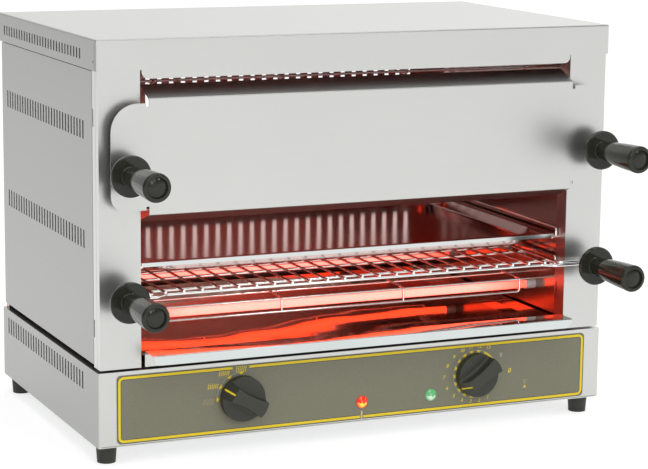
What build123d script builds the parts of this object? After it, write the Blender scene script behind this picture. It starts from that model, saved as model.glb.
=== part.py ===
from build123d import *
import os

os.makedirs("parts", exist_ok=True)

# A two-deck quartz grill for melting cheese and toasting, in millimetres.
# +X is the right-hand side seen from the front, +Y the back, +Z up.
# The feet stand on Z = 0, and the origin lies under the middle of the whole outline.

# Casing
body_width = 640
body_depth = 380
foot_height = 21
base_height = 86
cap_height = 369
sheet = 1.2
fold_radius = 2.0
side_inset = 3.0
post_setback = 0.1

# Cap
cap_flange = 34.5
cap_drop = 9.5
cap_drop_clear = 1.5
cap_drop_corner = 7.5

# Posts, sides and cavity
post_width = 48
post_lift = 2.6
post_side_depth = 22
post_lip = 12
post_inner_depth = 24
top_clear = 1.0
side_gap_bottom = 5.5
side_gap_top = 1.8
key_slot_height = 20
key_slot_width = 2.4
key_slot_low = 37
key_slot_high = 272
wall_flange = 15
ledge_height = 3.0
ledge_depth = 16
reflector_drop = 27
reflector_lip = 10
reflector_margin = 12

# Vents
vent_pitch = 10.7
vent_count = 29
vent_width = 4.2
vent_back_margin = 25
cap_vent_height = 11.5
cap_vent_drop = 20.5
side_vent_height = 20.5
base_vent_height = 20
base_vent_rise = 66.5
upper_vent_rise = 265
lower_vent_rise = 142
rear_vent_pitch = 16
rear_vent_count = 31
rear_vent_width = 6
rear_vent_height = 54
rear_vent_upper_rise = 267
rear_vent_lower_rise = 149

# Base fittings
plate_clear = 0.15
plate_flange = 12
foot_radius = 12
foot_tip_radius = 10.5
foot_recess_radius = 4.5
foot_recess_depth = 6
foot_inset_x = 16
foot_inset_y = 21
overlay_side_gap = 21.5
overlay_height = 78.7
overlay_thickness = 0.6
overlay_rise = 42.3
overlay_corner = 5

# Controls
selector_inset = 170
timer_inset = 170
control_rise = 43.5
knob_radius = 26
knob_skirt = 9
knob_depth = 21
knob_bar = 14
knob_scoop = 110
knob_scoop_foot = 4
knob_gap = 1.0
knob_pointer_reach = 17.5
knob_pointer_foot = 5
knob_edge = 0.6
pointer_slot_width = 2.6
pointer_slot_depth = 0.5
shaft_radius = 3.0
shaft_in_knob = 14
shaft_in_switch = 24
shaft_fit = 0.05
knob_fit = 0.02
bushing_radius = 5
bushing_fit = 0.2
selector_turn = 150
timer_turn = 216
switch_width = 44
switch_height = 40
switch_depth = 48
timer_radius = 26
timer_depth = 46
timer_ear_width = 66
timer_ear_height = 16
lamp_to_timer = 59
lamp_pitch = 89.5
lamp_rise = 23.5
lamp_radius = 7.3
lamp_dome = 3.2
lamp_rim = 1.0
lamp_stem_radius = 5.5
lamp_stem_length = 22
lamp_nut_radius = 8
lamp_nut_width = 3
lamp_fit = 0.1

# Supply
gland_inset = 85
gland_rise = 34
gland_reach = 16
gland_bore = 4.5
gland_thread_radius = 9
gland_flange_radius = 13
gland_flange = 5
gland_nose_radius = 8
gland_inside = 10
gland_nut_radius = 12.5
gland_nut = 4
gland_fit = 0.15
block_length = 62
block_width = 22
block_height = 24
block_back_gap = 48
block_screw_radius = 3.2
block_screw_depth = 4
block_poles = 5

# Quartz heaters
tube_radius = 5
tube_bore = 3.8
tube_front = 75
tube_back = 285
lower_tube_rise = 45
middle_tube_rise = 194
upper_tube_drop = 15
coil_radius = 1.9
coil_fit = 0.1
cap_radius = 6
cap_reach_in = 13
cap_reach_out = 20
cap_socket = 5
cap_fit = 0.15
cap_hole_fit = 0.2
cap_collar_radius = 8
cap_collar = 4

# Heater guards
guard_wire = 1.5
guard_rise = 11
guard_front_gap = 21
guard_back_gap = 21
guard_drop = 15
guard_weld = 2.2
guard_tee = 0.7
guard_bend = 4
guard_end_gap = 33
guard_hoops = 4

# Wire racks
rack_wire = 1.5
frame_wire = 1.75
lower_rack_rise = 82.8
upper_rack_rise = 222.8
rack_wire_margin = 15.1
rack_wire_count = 23
rack_front = 3
rack_back = 352
rack_wire_overhang = 6
rack_side_gap = 13
rack_rail_gap = 6.1
second_rail = 25
rail_start = 88
rail_pitch = 37.2
rail_count = 7
frame_corner = 12
arm_plane = -6
arm_bend = 6
arm_step_in = 9

# Handles
lower_handle_standoff = 29
upper_handle_standoff = 34
disc_radius = 23
disc_thickness = 6
disc_edge = 1.4
neck_radius = 10.5
neck_length = 9
shoulder_radius = 11.6
grip_mid_radius = 14.6
grip_end_radius = 15.9
handle_length = 88
grip_edge = 3
grip_recess_radius = 11.5
grip_recess_depth = 1.5
handle_bore_fit = 0.06
handle_bore_depth = 26

# Runners
carrier_radius = 2.5
carrier_inset = 7
guide_radius = 1.8
guide_inset = 2.2
carrier_gap = 0.3
guide_lift = 10.5
guide_bend = 4
runner_front = 20
runner_back = 340
runner_end = 368
stub_radius = 2.0

# Front panel on the upper rack
panel_end_gap = 9
panel_side_gap = 5
panel_standoff = 12.8
panel_sheet = 1.2
panel_low = 177.5
panel_high = 304
panel_wing_step_low = 4.8
panel_wing_step_high = 4
panel_top_corner = 31
panel_low_corner = 16
panel_notch = 3.5
panel_notch_depth = 4
panel_flange_depth = 30
panel_flange_flare = 12
panel_slot_clear = 0.5

# Baking tray
tray_side_gap = 5
tray_front = 18
tray_back = 356
tray_rim_rise = 117
tray_rim = 9
tray_depth = 13
tray_sheet = 0.9
tray_corner = 48
tray_taper = 14
tray_floor_edge = 3
tray_hem = 4.6
tray_rim_corner = 2

# Drip tray
drip_side_gap = 4
drip_front_height = 17
drip_back = 362
drip_wall = 12
drip_sheet = 1.0
drip_shelf = 27
drip_flap = 10
drip_flap_corner = 9
drip_gap = 0.2

# Derived levels and planes
front_y = (upper_handle_standoff + handle_length - body_depth - gland_reach) / 2
back_y = front_y + body_depth
mid_y = front_y + body_depth / 2
base_top = foot_height + base_height
cap_top = base_top + cap_height
body_half = body_width / 2 - side_inset
cavity_half = body_half - post_width
handle_x = body_half - post_width / 2
overlay_width = body_width - 2 * overlay_side_gap
selector_x = selector_inset - body_width / 2
timer_x = body_width / 2 - timer_inset
green_lamp_x = timer_x - lamp_to_timer
red_lamp_x = green_lamp_x - lamp_pitch
gland_x = body_width / 2 - gland_inset
guard_half_span = cavity_half - guard_end_gap
rack_side = cavity_half - rack_side_gap
rack_rail_side = cavity_half - rack_rail_gap
rack_wire_pitch = 2 * (rack_side - rack_wire_margin) / (rack_wire_count - 1)
carrier_x = cavity_half - carrier_inset
guide_x = cavity_half - guide_inset
panel_half = body_half - panel_end_gap
panel_middle_half = cavity_half - panel_side_gap
tray_rim_half = cavity_half - tray_side_gap
drip_half = cavity_half - drip_side_gap
front_face = front_y + sheet + post_setback
rear_face = back_y - sheet
rear_inner = rear_face - sheet
cavity_front = front_y + post_inner_depth
cap_low = cap_top - cap_flange
reflector_z = cap_top - reflector_drop
vent_middle = back_y - vent_back_margin - vent_pitch * (vent_count - 1) / 2
overlay_face = front_y - overlay_thickness
control_z = foot_height + control_rise
sides = (("left", -1), ("right", 1))

# Base housing: one folded box, open underneath, with vents in both sides.
with BuildPart() as base_housing:
    with BuildSketch(Plane.XY.offset(foot_height)):
        with Locations((0, mid_y)):
            Rectangle(body_width, body_depth)
    extrude(amount=base_height)
    fillet(base_housing.edges().filter_by(Axis.Z), radius=fold_radius)
    offset(amount=-sheet, openings=base_housing.faces().sort_by(Axis.Z)[0])
    with BuildSketch(Plane.YZ):
        with Locations((vent_middle, foot_height + base_vent_rise)):
            with GridLocations(vent_pitch, base_vent_height, vent_count, 1):
                Rectangle(vent_width, base_vent_height)
    extrude(amount=body_width, both=True, mode=Mode.SUBTRACT)
    with BuildSketch(Plane.XZ.offset(-front_y)):
        with Locations((selector_x, control_z), (timer_x, control_z)):
            Circle(bushing_radius + bushing_fit)
        with Locations((red_lamp_x, foot_height + lamp_rise), (green_lamp_x, foot_height + lamp_rise)):
            Circle(lamp_stem_radius + lamp_fit)
    extrude(amount=-2 * sheet, mode=Mode.SUBTRACT)
    with BuildSketch(Plane.XZ.offset(-back_y)):
        with Locations((gland_x, foot_height + gland_rise)):
            Circle(gland_thread_radius + gland_fit)
    extrude(amount=2 * sheet, mode=Mode.SUBTRACT)
base_housing.part.label = "base_housing"
export_step(base_housing.part, "parts/base_housing.step")

# Base plate: a shallow tray that closes the housing and carries the feet.
with BuildPart() as base_plate:
    with BuildSketch(Plane.XY.offset(foot_height)):
        with Locations((0, mid_y)):
            Rectangle(body_width - 2 * (sheet + plate_clear), body_depth - 2 * (sheet + plate_clear))
    extrude(amount=plate_flange)
    fillet(base_plate.edges().filter_by(Axis.Z), radius=fold_radius)
    offset(amount=-sheet, openings=base_plate.faces().sort_by(Axis.Z)[-1])
base_plate.part.label = "base_plate"
export_step(base_plate.part, "parts/base_plate.step")

# Feet: tapered rubber, recessed for the screw.
foot_places = (
    ("front_left", -1, front_y + foot_inset_y),
    ("front_right", 1, front_y + foot_inset_y),
    ("back_left", -1, back_y - foot_inset_y),
    ("back_right", 1, back_y - foot_inset_y),
)
for foot_name, side, foot_y in foot_places:
    foot_x = side * (body_width / 2 - foot_inset_x)
    with BuildPart() as foot:
        with BuildSketch(Plane.XZ.offset(-foot_y)):
            with BuildLine():
                Polyline(
                    (foot_x + foot_recess_radius, 0),
                    (foot_x + foot_tip_radius, 0),
                    (foot_x + foot_radius, foot_height),
                    (foot_x, foot_height),
                    (foot_x, foot_recess_depth),
                    (foot_x + foot_recess_radius, foot_recess_depth),
                    close=True,
                )
            make_face()
        revolve(axis=Axis((foot_x, foot_y, 0), (0, 0, 1)))
    foot.part.label = "foot_" + foot_name
    export_step(foot.part, "parts/foot_" + foot_name + ".step")

# Control overlay: a printed plate on the front of the base.
with BuildPart() as control_overlay:
    with BuildSketch(Plane.XZ.offset(-front_y)):
        with Locations((0, foot_height + overlay_rise)):
            RectangleRounded(overlay_width, overlay_height, overlay_corner)
        with Locations((selector_x, control_z), (timer_x, control_z)):
            Circle(bushing_radius + bushing_fit, mode=Mode.SUBTRACT)
        with Locations((red_lamp_x, foot_height + lamp_rise), (green_lamp_x, foot_height + lamp_rise)):
            Circle(lamp_stem_radius + lamp_fit, mode=Mode.SUBTRACT)
    extrude(amount=overlay_thickness)
control_overlay.part.label = "control_overlay"
export_step(control_overlay.part, "parts/control_overlay.step")

# Cap: a folded lid whose front flange drops lower between the posts.
with BuildPart() as top_cover:
    with BuildSketch(Plane.XY.offset(cap_low)):
        with Locations((0, mid_y)):
            Rectangle(body_width, body_depth)
    extrude(amount=cap_flange)
    fillet(top_cover.edges().filter_by(Axis.Z), radius=fold_radius)
    fillet(top_cover.faces().sort_by(Axis.Z)[-1].edges(), radius=fold_radius)
    offset(amount=-sheet, openings=top_cover.faces().sort_by(Axis.Z)[0])
    with BuildSketch(Plane.XZ.offset(-front_y - sheet)):
        with BuildLine():
            drop_half = cavity_half - cap_drop_clear
            FilletPolyline(
                (-drop_half, cap_low + cap_drop_corner),
                (-drop_half, cap_low - cap_drop),
                (drop_half, cap_low - cap_drop),
                (drop_half, cap_low + cap_drop_corner),
                radius=cap_drop_corner,
            )
            Line((-drop_half, cap_low + cap_drop_corner), (drop_half, cap_low + cap_drop_corner))
        make_face()
    extrude(amount=sheet)
    with BuildSketch(Plane.YZ):
        with Locations((vent_middle, cap_low + cap_vent_drop - cap_vent_height / 2)):
            with GridLocations(vent_pitch, cap_vent_height, vent_count, 1):
                Rectangle(vent_width, cap_vent_height)
    extrude(amount=body_width, both=True, mode=Mode.SUBTRACT)
top_cover.part.label = "top_cover"
export_step(top_cover.part, "parts/top_cover.step")

# Rear panel: slotted sheet with side flanges, between the base and the cap.
with BuildPart() as rear_panel:
    with BuildSketch(Plane.XY.offset(base_top)):
        with BuildLine():
            Polyline(
                (-body_half + sheet, rear_face - post_lip),
                (-body_half + sheet, rear_face),
                (body_half - sheet, rear_face),
                (body_half - sheet, rear_face - post_lip),
            )
            offset(amount=sheet, side=Side.RIGHT)
        make_face()
    extrude(amount=cap_top - sheet - top_clear - base_top)
    with BuildSketch(Plane.XZ.offset(-rear_face)):
        for rise in (rear_vent_lower_rise, rear_vent_upper_rise):
            with Locations((0, base_top + rise)):
                with GridLocations(rear_vent_pitch, rear_vent_height, rear_vent_count, 1):
                    Rectangle(rear_vent_width, rear_vent_height)
    extrude(amount=2 * sheet, mode=Mode.SUBTRACT)
rear_panel.part.label = "rear_panel"
export_step(rear_panel.part, "parts/rear_panel.step")

# Reflector over the cavity, turned up at its edges.
with BuildPart() as upper_reflector:
    with BuildSketch(Plane.XY.offset(reflector_z)):
        with Locations((0, (cavity_front + rear_inner) / 2)):
            Rectangle(2 * (cavity_half + reflector_margin), rear_inner - cavity_front)
    extrude(amount=reflector_lip)
    offset(amount=-sheet, openings=upper_reflector.faces().sort_by(Axis.Z)[-1])
upper_reflector.part.label = "upper_reflector"
export_step(upper_reflector.part, "parts/upper_reflector.step")

# Heater positions: a front and a back tube at each of three levels.
tube_levels = (
    ("lower", base_top + lower_tube_rise, 1),
    ("middle", base_top + middle_tube_rise, 1),
    ("upper", reflector_z - upper_tube_drop, -1),
)
tube_rows = (("front", front_y + tube_front, -1), ("back", front_y + tube_back, 1))

for side_name, side in sides:
    # Front post: a folded channel with returns into the cavity and along the side.
    with BuildPart() as post:
        with BuildSketch(Plane.XY.offset(base_top + post_lift)):
            with BuildLine():
                Polyline(
                    (-body_half + post_lip, front_y + post_side_depth),
                    (-body_half, front_y + post_side_depth),
                    (-body_half, front_face),
                    (-cavity_half, front_face),
                    (-cavity_half, cavity_front),
                )
                offset(amount=sheet, side=Side.LEFT)
            make_face()
            if side > 0:
                mirror(about=Plane.YZ, mode=Mode.REPLACE)
        extrude(amount=cap_top - sheet - top_clear - base_top - post_lift)
        with BuildSketch(Plane.YZ):
            with Locations(
                (front_y + post_side_depth - key_slot_width, base_top + key_slot_low + key_slot_height / 2),
                (front_y + post_side_depth - key_slot_width, base_top + key_slot_high + key_slot_height / 2),
            ):
                Rectangle(key_slot_width, key_slot_height)
        extrude(amount=side * body_width, mode=Mode.SUBTRACT)
    post.part.label = side_name + "_front_post"
    export_step(post.part, "parts/" + side_name + "_front_post.step")

    # Outer side panel, hooked behind the post and butted against the rear panel.
    with BuildPart() as side_panel:
        with BuildSketch(Plane.XY.offset(base_top + side_gap_bottom)):
            with BuildLine():
                Polyline(
                    (-body_half + post_lip, front_y + post_side_depth),
                    (-body_half, front_y + post_side_depth),
                    (-body_half, rear_face),
                )
                offset(amount=sheet, side=Side.RIGHT)
            make_face()
            if side > 0:
                mirror(about=Plane.YZ, mode=Mode.REPLACE)
        extrude(amount=cap_low - side_gap_top - base_top - side_gap_bottom)
        with BuildSketch(Plane.YZ):
            for rise in (lower_vent_rise, upper_vent_rise):
                with Locations((vent_middle, base_top + rise)):
                    with GridLocations(vent_pitch, side_vent_height, vent_count, 1):
                        Rectangle(vent_width, side_vent_height)
        extrude(amount=side * body_width, mode=Mode.SUBTRACT)
    side_panel.part.label = side_name + "_side_panel"
    export_step(side_panel.part, "parts/" + side_name + "_side_panel.step")

    # Polished inner wall: flange under the reflector, ledge for the drip tray, holes for the tubes.
    with BuildPart() as inner_wall:
        with BuildSketch(Plane.XZ.offset(-cavity_front)):
            with BuildLine():
                Polyline(
                    (-cavity_half - wall_flange, reflector_z),
                    (-cavity_half, reflector_z),
                    (-cavity_half, base_top + ledge_height),
                    (-cavity_half + ledge_depth, base_top + ledge_height),
                    (-cavity_half + ledge_depth, base_top),
                )
                offset(amount=sheet, side=Side.RIGHT)
            make_face()
            if side > 0:
                mirror(about=Plane.YZ, mode=Mode.REPLACE)
        extrude(amount=cavity_front - rear_inner)
        with BuildSketch(Plane.YZ):
            with Locations([(row[1], level[1]) for row in tube_rows for level in tube_levels]):
                Circle(cap_radius + cap_hole_fit)
        extrude(amount=side * body_width, mode=Mode.SUBTRACT)
    inner_wall.part.label = side_name + "_inner_wall"
    export_step(inner_wall.part, "parts/" + side_name + "_inner_wall.step")

# Quartz tubes, each a plain glass pipe held by a ceramic cap at either end.
tube_half = cavity_half - cap_reach_in + cap_socket
for level_name, tube_z, _ in tube_levels:
    for row_name, tube_y, _ in tube_rows:
        with BuildPart() as quartz_tube:
            with BuildSketch(Plane.YZ.offset(-tube_half)):
                with Locations((tube_y, tube_z)):
                    Circle(tube_radius)
                    Circle(tube_bore, mode=Mode.SUBTRACT)
            extrude(amount=2 * tube_half)
        tube_name = level_name + "_" + row_name + "_quartz_tube"
        quartz_tube.part.label = tube_name
        export_step(quartz_tube.part, "parts/" + tube_name + ".step")

# Heating coils inside the tubes, as plain cores that reach into the caps.
with BuildPart() as heating_coils:
    with BuildSketch(Plane.YZ.offset(-cavity_half - cap_reach_out)):
        with Locations([(row[1], level[1]) for row in tube_rows for level in tube_levels]):
            Circle(coil_radius)
    extrude(amount=2 * (cavity_half + cap_reach_out))
heating_coils.part.label = "heating_coils"
export_step(heating_coils.part, "parts/heating_coils.step")

# Ceramic end caps: they pass through the cavity walls, with a collar outside.
with BuildPart() as tube_end_caps:
    for _, side in sides:
        for _, tube_z, _ in tube_levels:
            for _, tube_y, _ in tube_rows:
                with BuildSketch(Plane.XZ.offset(-tube_y)):
                    with BuildLine():
                        Polyline(
                            (side * (cavity_half - cap_reach_in), tube_z + tube_radius + cap_fit),
                            (side * (cavity_half - cap_reach_in), tube_z + cap_radius),
                            (side * (cavity_half + sheet), tube_z + cap_radius),
                            (side * (cavity_half + sheet), tube_z + cap_collar_radius),
                            (side * (cavity_half + sheet + cap_collar), tube_z + cap_collar_radius),
                            (side * (cavity_half + sheet + cap_collar), tube_z + cap_radius),
                            (side * (cavity_half + cap_reach_out), tube_z + cap_radius),
                            (side * (cavity_half + cap_reach_out), tube_z + coil_radius + coil_fit),
                            (side * tube_half, tube_z + coil_radius + coil_fit),
                            (side * tube_half, tube_z + tube_radius + cap_fit),
                            close=True,
                        )
                    make_face()
                revolve(axis=Axis((0, tube_y, tube_z), (1, 0, 0)))
tube_end_caps.part.label = "tube_end_caps"
export_step(tube_end_caps.part, "parts/tube_end_caps.step")

# Heater guards: two wires from wall to wall, and a wire bent down in front that ends in two
# hoops across them, with more hoops between.
hoop_pitch = 2 * guard_half_span / (guard_hoops - 1)
for level_name, tube_z, up in tube_levels:
    with BuildPart() as tube_guards:
        for _, tube_y, out in tube_rows:
            rail_z = tube_z + up * guard_rise
            drop_z = rail_z - up * guard_drop
            outer_y = tube_y + out * guard_front_gap
            inner_y = tube_y - out * guard_back_gap
            hoop_y = outer_y + out * guard_weld
            hoop_z = rail_z + up * guard_weld
            with BuildSketch(Plane.YZ.offset(-cavity_half)):
                with Locations((outer_y, rail_z), (inner_y, rail_z)):
                    Circle(guard_wire)
            extrude(amount=2 * cavity_half)
            with BuildLine() as end_hoops:
                FilletPolyline(
                    (-guard_half_span, inner_y, hoop_z),
                    (-guard_half_span, hoop_y, hoop_z),
                    (-guard_half_span, hoop_y, drop_z),
                    (guard_half_span, hoop_y, drop_z),
                    (guard_half_span, hoop_y, hoop_z),
                    (guard_half_span, inner_y, hoop_z),
                    radius=guard_bend,
                )
            with BuildSketch(Plane((-guard_half_span, inner_y, hoop_z), z_dir=(0, out, 0))):
                Circle(guard_wire)
            sweep(path=end_hoops.line)
            for count in range(1, guard_hoops - 1):
                hoop_x = -guard_half_span + count * hoop_pitch
                with BuildLine() as hoop:
                    FilletPolyline(
                        (hoop_x, inner_y, hoop_z),
                        (hoop_x, hoop_y, hoop_z),
                        (hoop_x, hoop_y, drop_z + up * guard_tee),
                        radius=guard_bend,
                    )
                with BuildSketch(Plane((hoop_x, inner_y, hoop_z), z_dir=(0, out, 0))):
                    Circle(guard_wire)
                sweep(path=hoop.line)
    guard_name = level_name + "_tube_guards"
    tube_guards.part.label = guard_name
    export_step(tube_guards.part, "parts/" + guard_name + ".step")

# Switches inside the base, with bushings that reach through its front.
with BuildPart() as selector_switch:
    with BuildSketch(Plane.XZ.offset(-front_y - sheet)):
        with Locations((selector_x, control_z)):
            RectangleRounded(switch_width, switch_height, knob_edge)
    extrude(amount=-switch_depth)
    with BuildSketch(Plane.XZ.offset(-overlay_face)):
        with Locations((selector_x, control_z)):
            Circle(bushing_radius)
    extrude(amount=overlay_face - front_y - sheet)
    with BuildSketch(Plane.XZ.offset(-overlay_face)):
        with Locations((selector_x, control_z)):
            Circle(shaft_radius + shaft_fit)
    extrude(amount=-shaft_in_switch, mode=Mode.SUBTRACT)
selector_switch.part.label = "selector_switch"
export_step(selector_switch.part, "parts/selector_switch.step")

with BuildPart() as timer_movement:
    with BuildSketch(Plane.XZ.offset(-front_y - sheet)):
        with Locations((timer_x, control_z)):
            Circle(timer_radius)
    extrude(amount=-timer_depth)
    with BuildSketch(Plane.XZ.offset(-front_y - sheet)):
        with Locations((timer_x, control_z)):
            RectangleRounded(timer_ear_width, timer_ear_height, overlay_corner)
    extrude(amount=-sheet)
    with BuildSketch(Plane.XZ.offset(-overlay_face)):
        with Locations((timer_x, control_z)):
            Circle(bushing_radius)
    extrude(amount=overlay_face - front_y - sheet)
    with BuildSketch(Plane.XZ.offset(-overlay_face)):
        with Locations((timer_x, control_z)):
            Circle(shaft_radius + shaft_fit)
    extrude(amount=-shaft_in_switch, mode=Mode.SUBTRACT)
timer_movement.part.label = "timer_movement"
export_step(timer_movement.part, "parts/timer_movement.step")

# Shafts and knobs: round knobs scooped on both sides of a grip bar, with a grooved slope as pointer.
knob_back = overlay_face - knob_gap
knob_front = knob_back - knob_depth
for control_name, control_x, control_turn in (
    ("selector", selector_x, selector_turn),
    ("timer", timer_x, timer_turn),
):
    with BuildPart() as shaft:
        with BuildSketch(Plane.XZ.offset(-overlay_face + knob_gap + shaft_in_knob)):
            with Locations((control_x, control_z)):
                Circle(shaft_radius)
        extrude(amount=-(knob_gap + shaft_in_knob + shaft_in_switch - 2 * shaft_fit))
    shaft.part.label = control_name + "_shaft"
    export_step(shaft.part, "parts/" + control_name + "_shaft.step")

    pointer = Vector(1, 0, 0).rotate(Axis((0, 0, 0), (0, -1, 0)), control_turn)
    knob_plane = Plane((control_x, knob_back, control_z), x_dir=pointer, z_dir=(0, -1, 0))
    pointer_plane = Plane(knob_plane.origin, x_dir=pointer, z_dir=-knob_plane.y_dir)
    with BuildPart() as knob:
        with BuildSketch(knob_plane):
            Circle(knob_radius)
        extrude(amount=knob_depth)
        fillet(knob.faces().sort_by(Axis.Y)[0].edges(), radius=knob_edge)
        with BuildSketch(knob_plane.offset(knob_skirt)):
            with Locations((0, knob_bar / 2 + knob_scoop), (0, -knob_bar / 2 - knob_scoop)):
                Circle(knob_scoop)
        extrude(amount=knob_depth, mode=Mode.SUBTRACT)
        scoop_edges = knob.edges().filter_by(GeomType.CIRCLE).group_by(SortBy.RADIUS)[-1]
        fillet(scoop_edges.group_by(Axis.Y)[-1], radius=knob_scoop_foot)
        for inset, half_width in ((0, knob_radius), (pointer_slot_depth, pointer_slot_width / 2)):
            with BuildSketch(pointer_plane):
                with BuildLine():
                    Polyline(
                        (knob_pointer_reach - inset, knob_depth + knob_edge),
                        (knob_pointer_reach - inset, knob_depth),
                        (knob_radius - inset, knob_pointer_foot),
                        (knob_radius + knob_edge, knob_pointer_foot),
                        (knob_radius + knob_edge, knob_depth + knob_edge),
                        close=True,
                    )
                make_face()
            extrude(amount=half_width, both=True, mode=Mode.SUBTRACT)
        with BuildSketch(knob_plane):
            Circle(shaft_radius + knob_fit)
        extrude(amount=shaft_in_knob + knob_fit, mode=Mode.SUBTRACT)
    knob.part.label = control_name + "_knob"
    export_step(knob.part, "parts/" + control_name + "_knob.step")

# Pilot lamps: domed lens, threaded stem and nut, one solid each.
for lamp_name, lamp_x in (("red", red_lamp_x), ("green", green_lamp_x)):
    lamp_z = foot_height + lamp_rise
    with BuildPart() as lamp:
        with BuildSketch(Plane.XY.offset(lamp_z)):
            with BuildLine():
                Polyline(
                    (lamp_x, overlay_face - lamp_rim - lamp_dome),
                    (lamp_x, front_y + lamp_stem_length),
                    (lamp_x + lamp_stem_radius, front_y + lamp_stem_length),
                    (lamp_x + lamp_stem_radius, front_y + sheet + lamp_nut_width),
                    (lamp_x + lamp_nut_radius, front_y + sheet + lamp_nut_width),
                    (lamp_x + lamp_nut_radius, front_y + sheet),
                    (lamp_x + lamp_stem_radius, front_y + sheet),
                    (lamp_x + lamp_stem_radius, overlay_face),
                    (lamp_x + lamp_radius, overlay_face),
                    (lamp_x + lamp_radius, overlay_face - lamp_rim),
                )
                RadiusArc(
                    (lamp_x + lamp_radius, overlay_face - lamp_rim),
                    (lamp_x, overlay_face - lamp_rim - lamp_dome),
                    (lamp_radius**2 + lamp_dome**2) / (2 * lamp_dome),
                )
            make_face()
        revolve(axis=Axis((lamp_x, front_y, lamp_z), (0, 1, 0)))
    lamp.part.label = lamp_name + "_lamp"
    export_step(lamp.part, "parts/" + lamp_name + "_lamp.step")

# Supply entry: gland with nut through the back of the base, and the terminal block behind it.
gland_z = foot_height + gland_rise
with BuildPart() as cable_gland:
    with BuildSketch(Plane.XY.offset(gland_z)):
        with BuildLine():
            Polyline(
                (gland_x + gland_bore, back_y + gland_reach),
                (gland_x + gland_nose_radius, back_y + gland_reach),
                (gland_x + gland_thread_radius, back_y + gland_flange),
                (gland_x + gland_flange_radius, back_y + gland_flange),
                (gland_x + gland_flange_radius, back_y),
                (gland_x + gland_thread_radius, back_y),
                (gland_x + gland_thread_radius, back_y - sheet),
                (gland_x + gland_nut_radius, back_y - sheet),
                (gland_x + gland_nut_radius, back_y - sheet - gland_nut),
                (gland_x + gland_thread_radius, back_y - sheet - gland_nut),
                (gland_x + gland_thread_radius, back_y - gland_inside),
                (gland_x + gland_bore, back_y - gland_inside),
                close=True,
            )
        make_face()
    revolve(axis=Axis((gland_x, back_y, gland_z), (0, 1, 0)))
cable_gland.part.label = "cable_gland"
export_step(cable_gland.part, "parts/cable_gland.step")

with BuildPart() as terminal_block:
    with BuildSketch(Plane.XY.offset(foot_height + sheet)):
        with Locations((gland_x, back_y - block_back_gap)):
            Rectangle(block_length, block_width)
    extrude(amount=block_height)
    with BuildSketch(Plane.XY.offset(foot_height + sheet + block_height)):
        with Locations((gland_x, back_y - block_back_gap)):
            with GridLocations(block_length / block_poles, block_width / 2, block_poles, 2):
                Circle(block_screw_radius)
    extrude(amount=-block_screw_depth, mode=Mode.SUBTRACT)
terminal_block.part.label = "terminal_block"
export_step(terminal_block.part, "parts/terminal_block.step")

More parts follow.
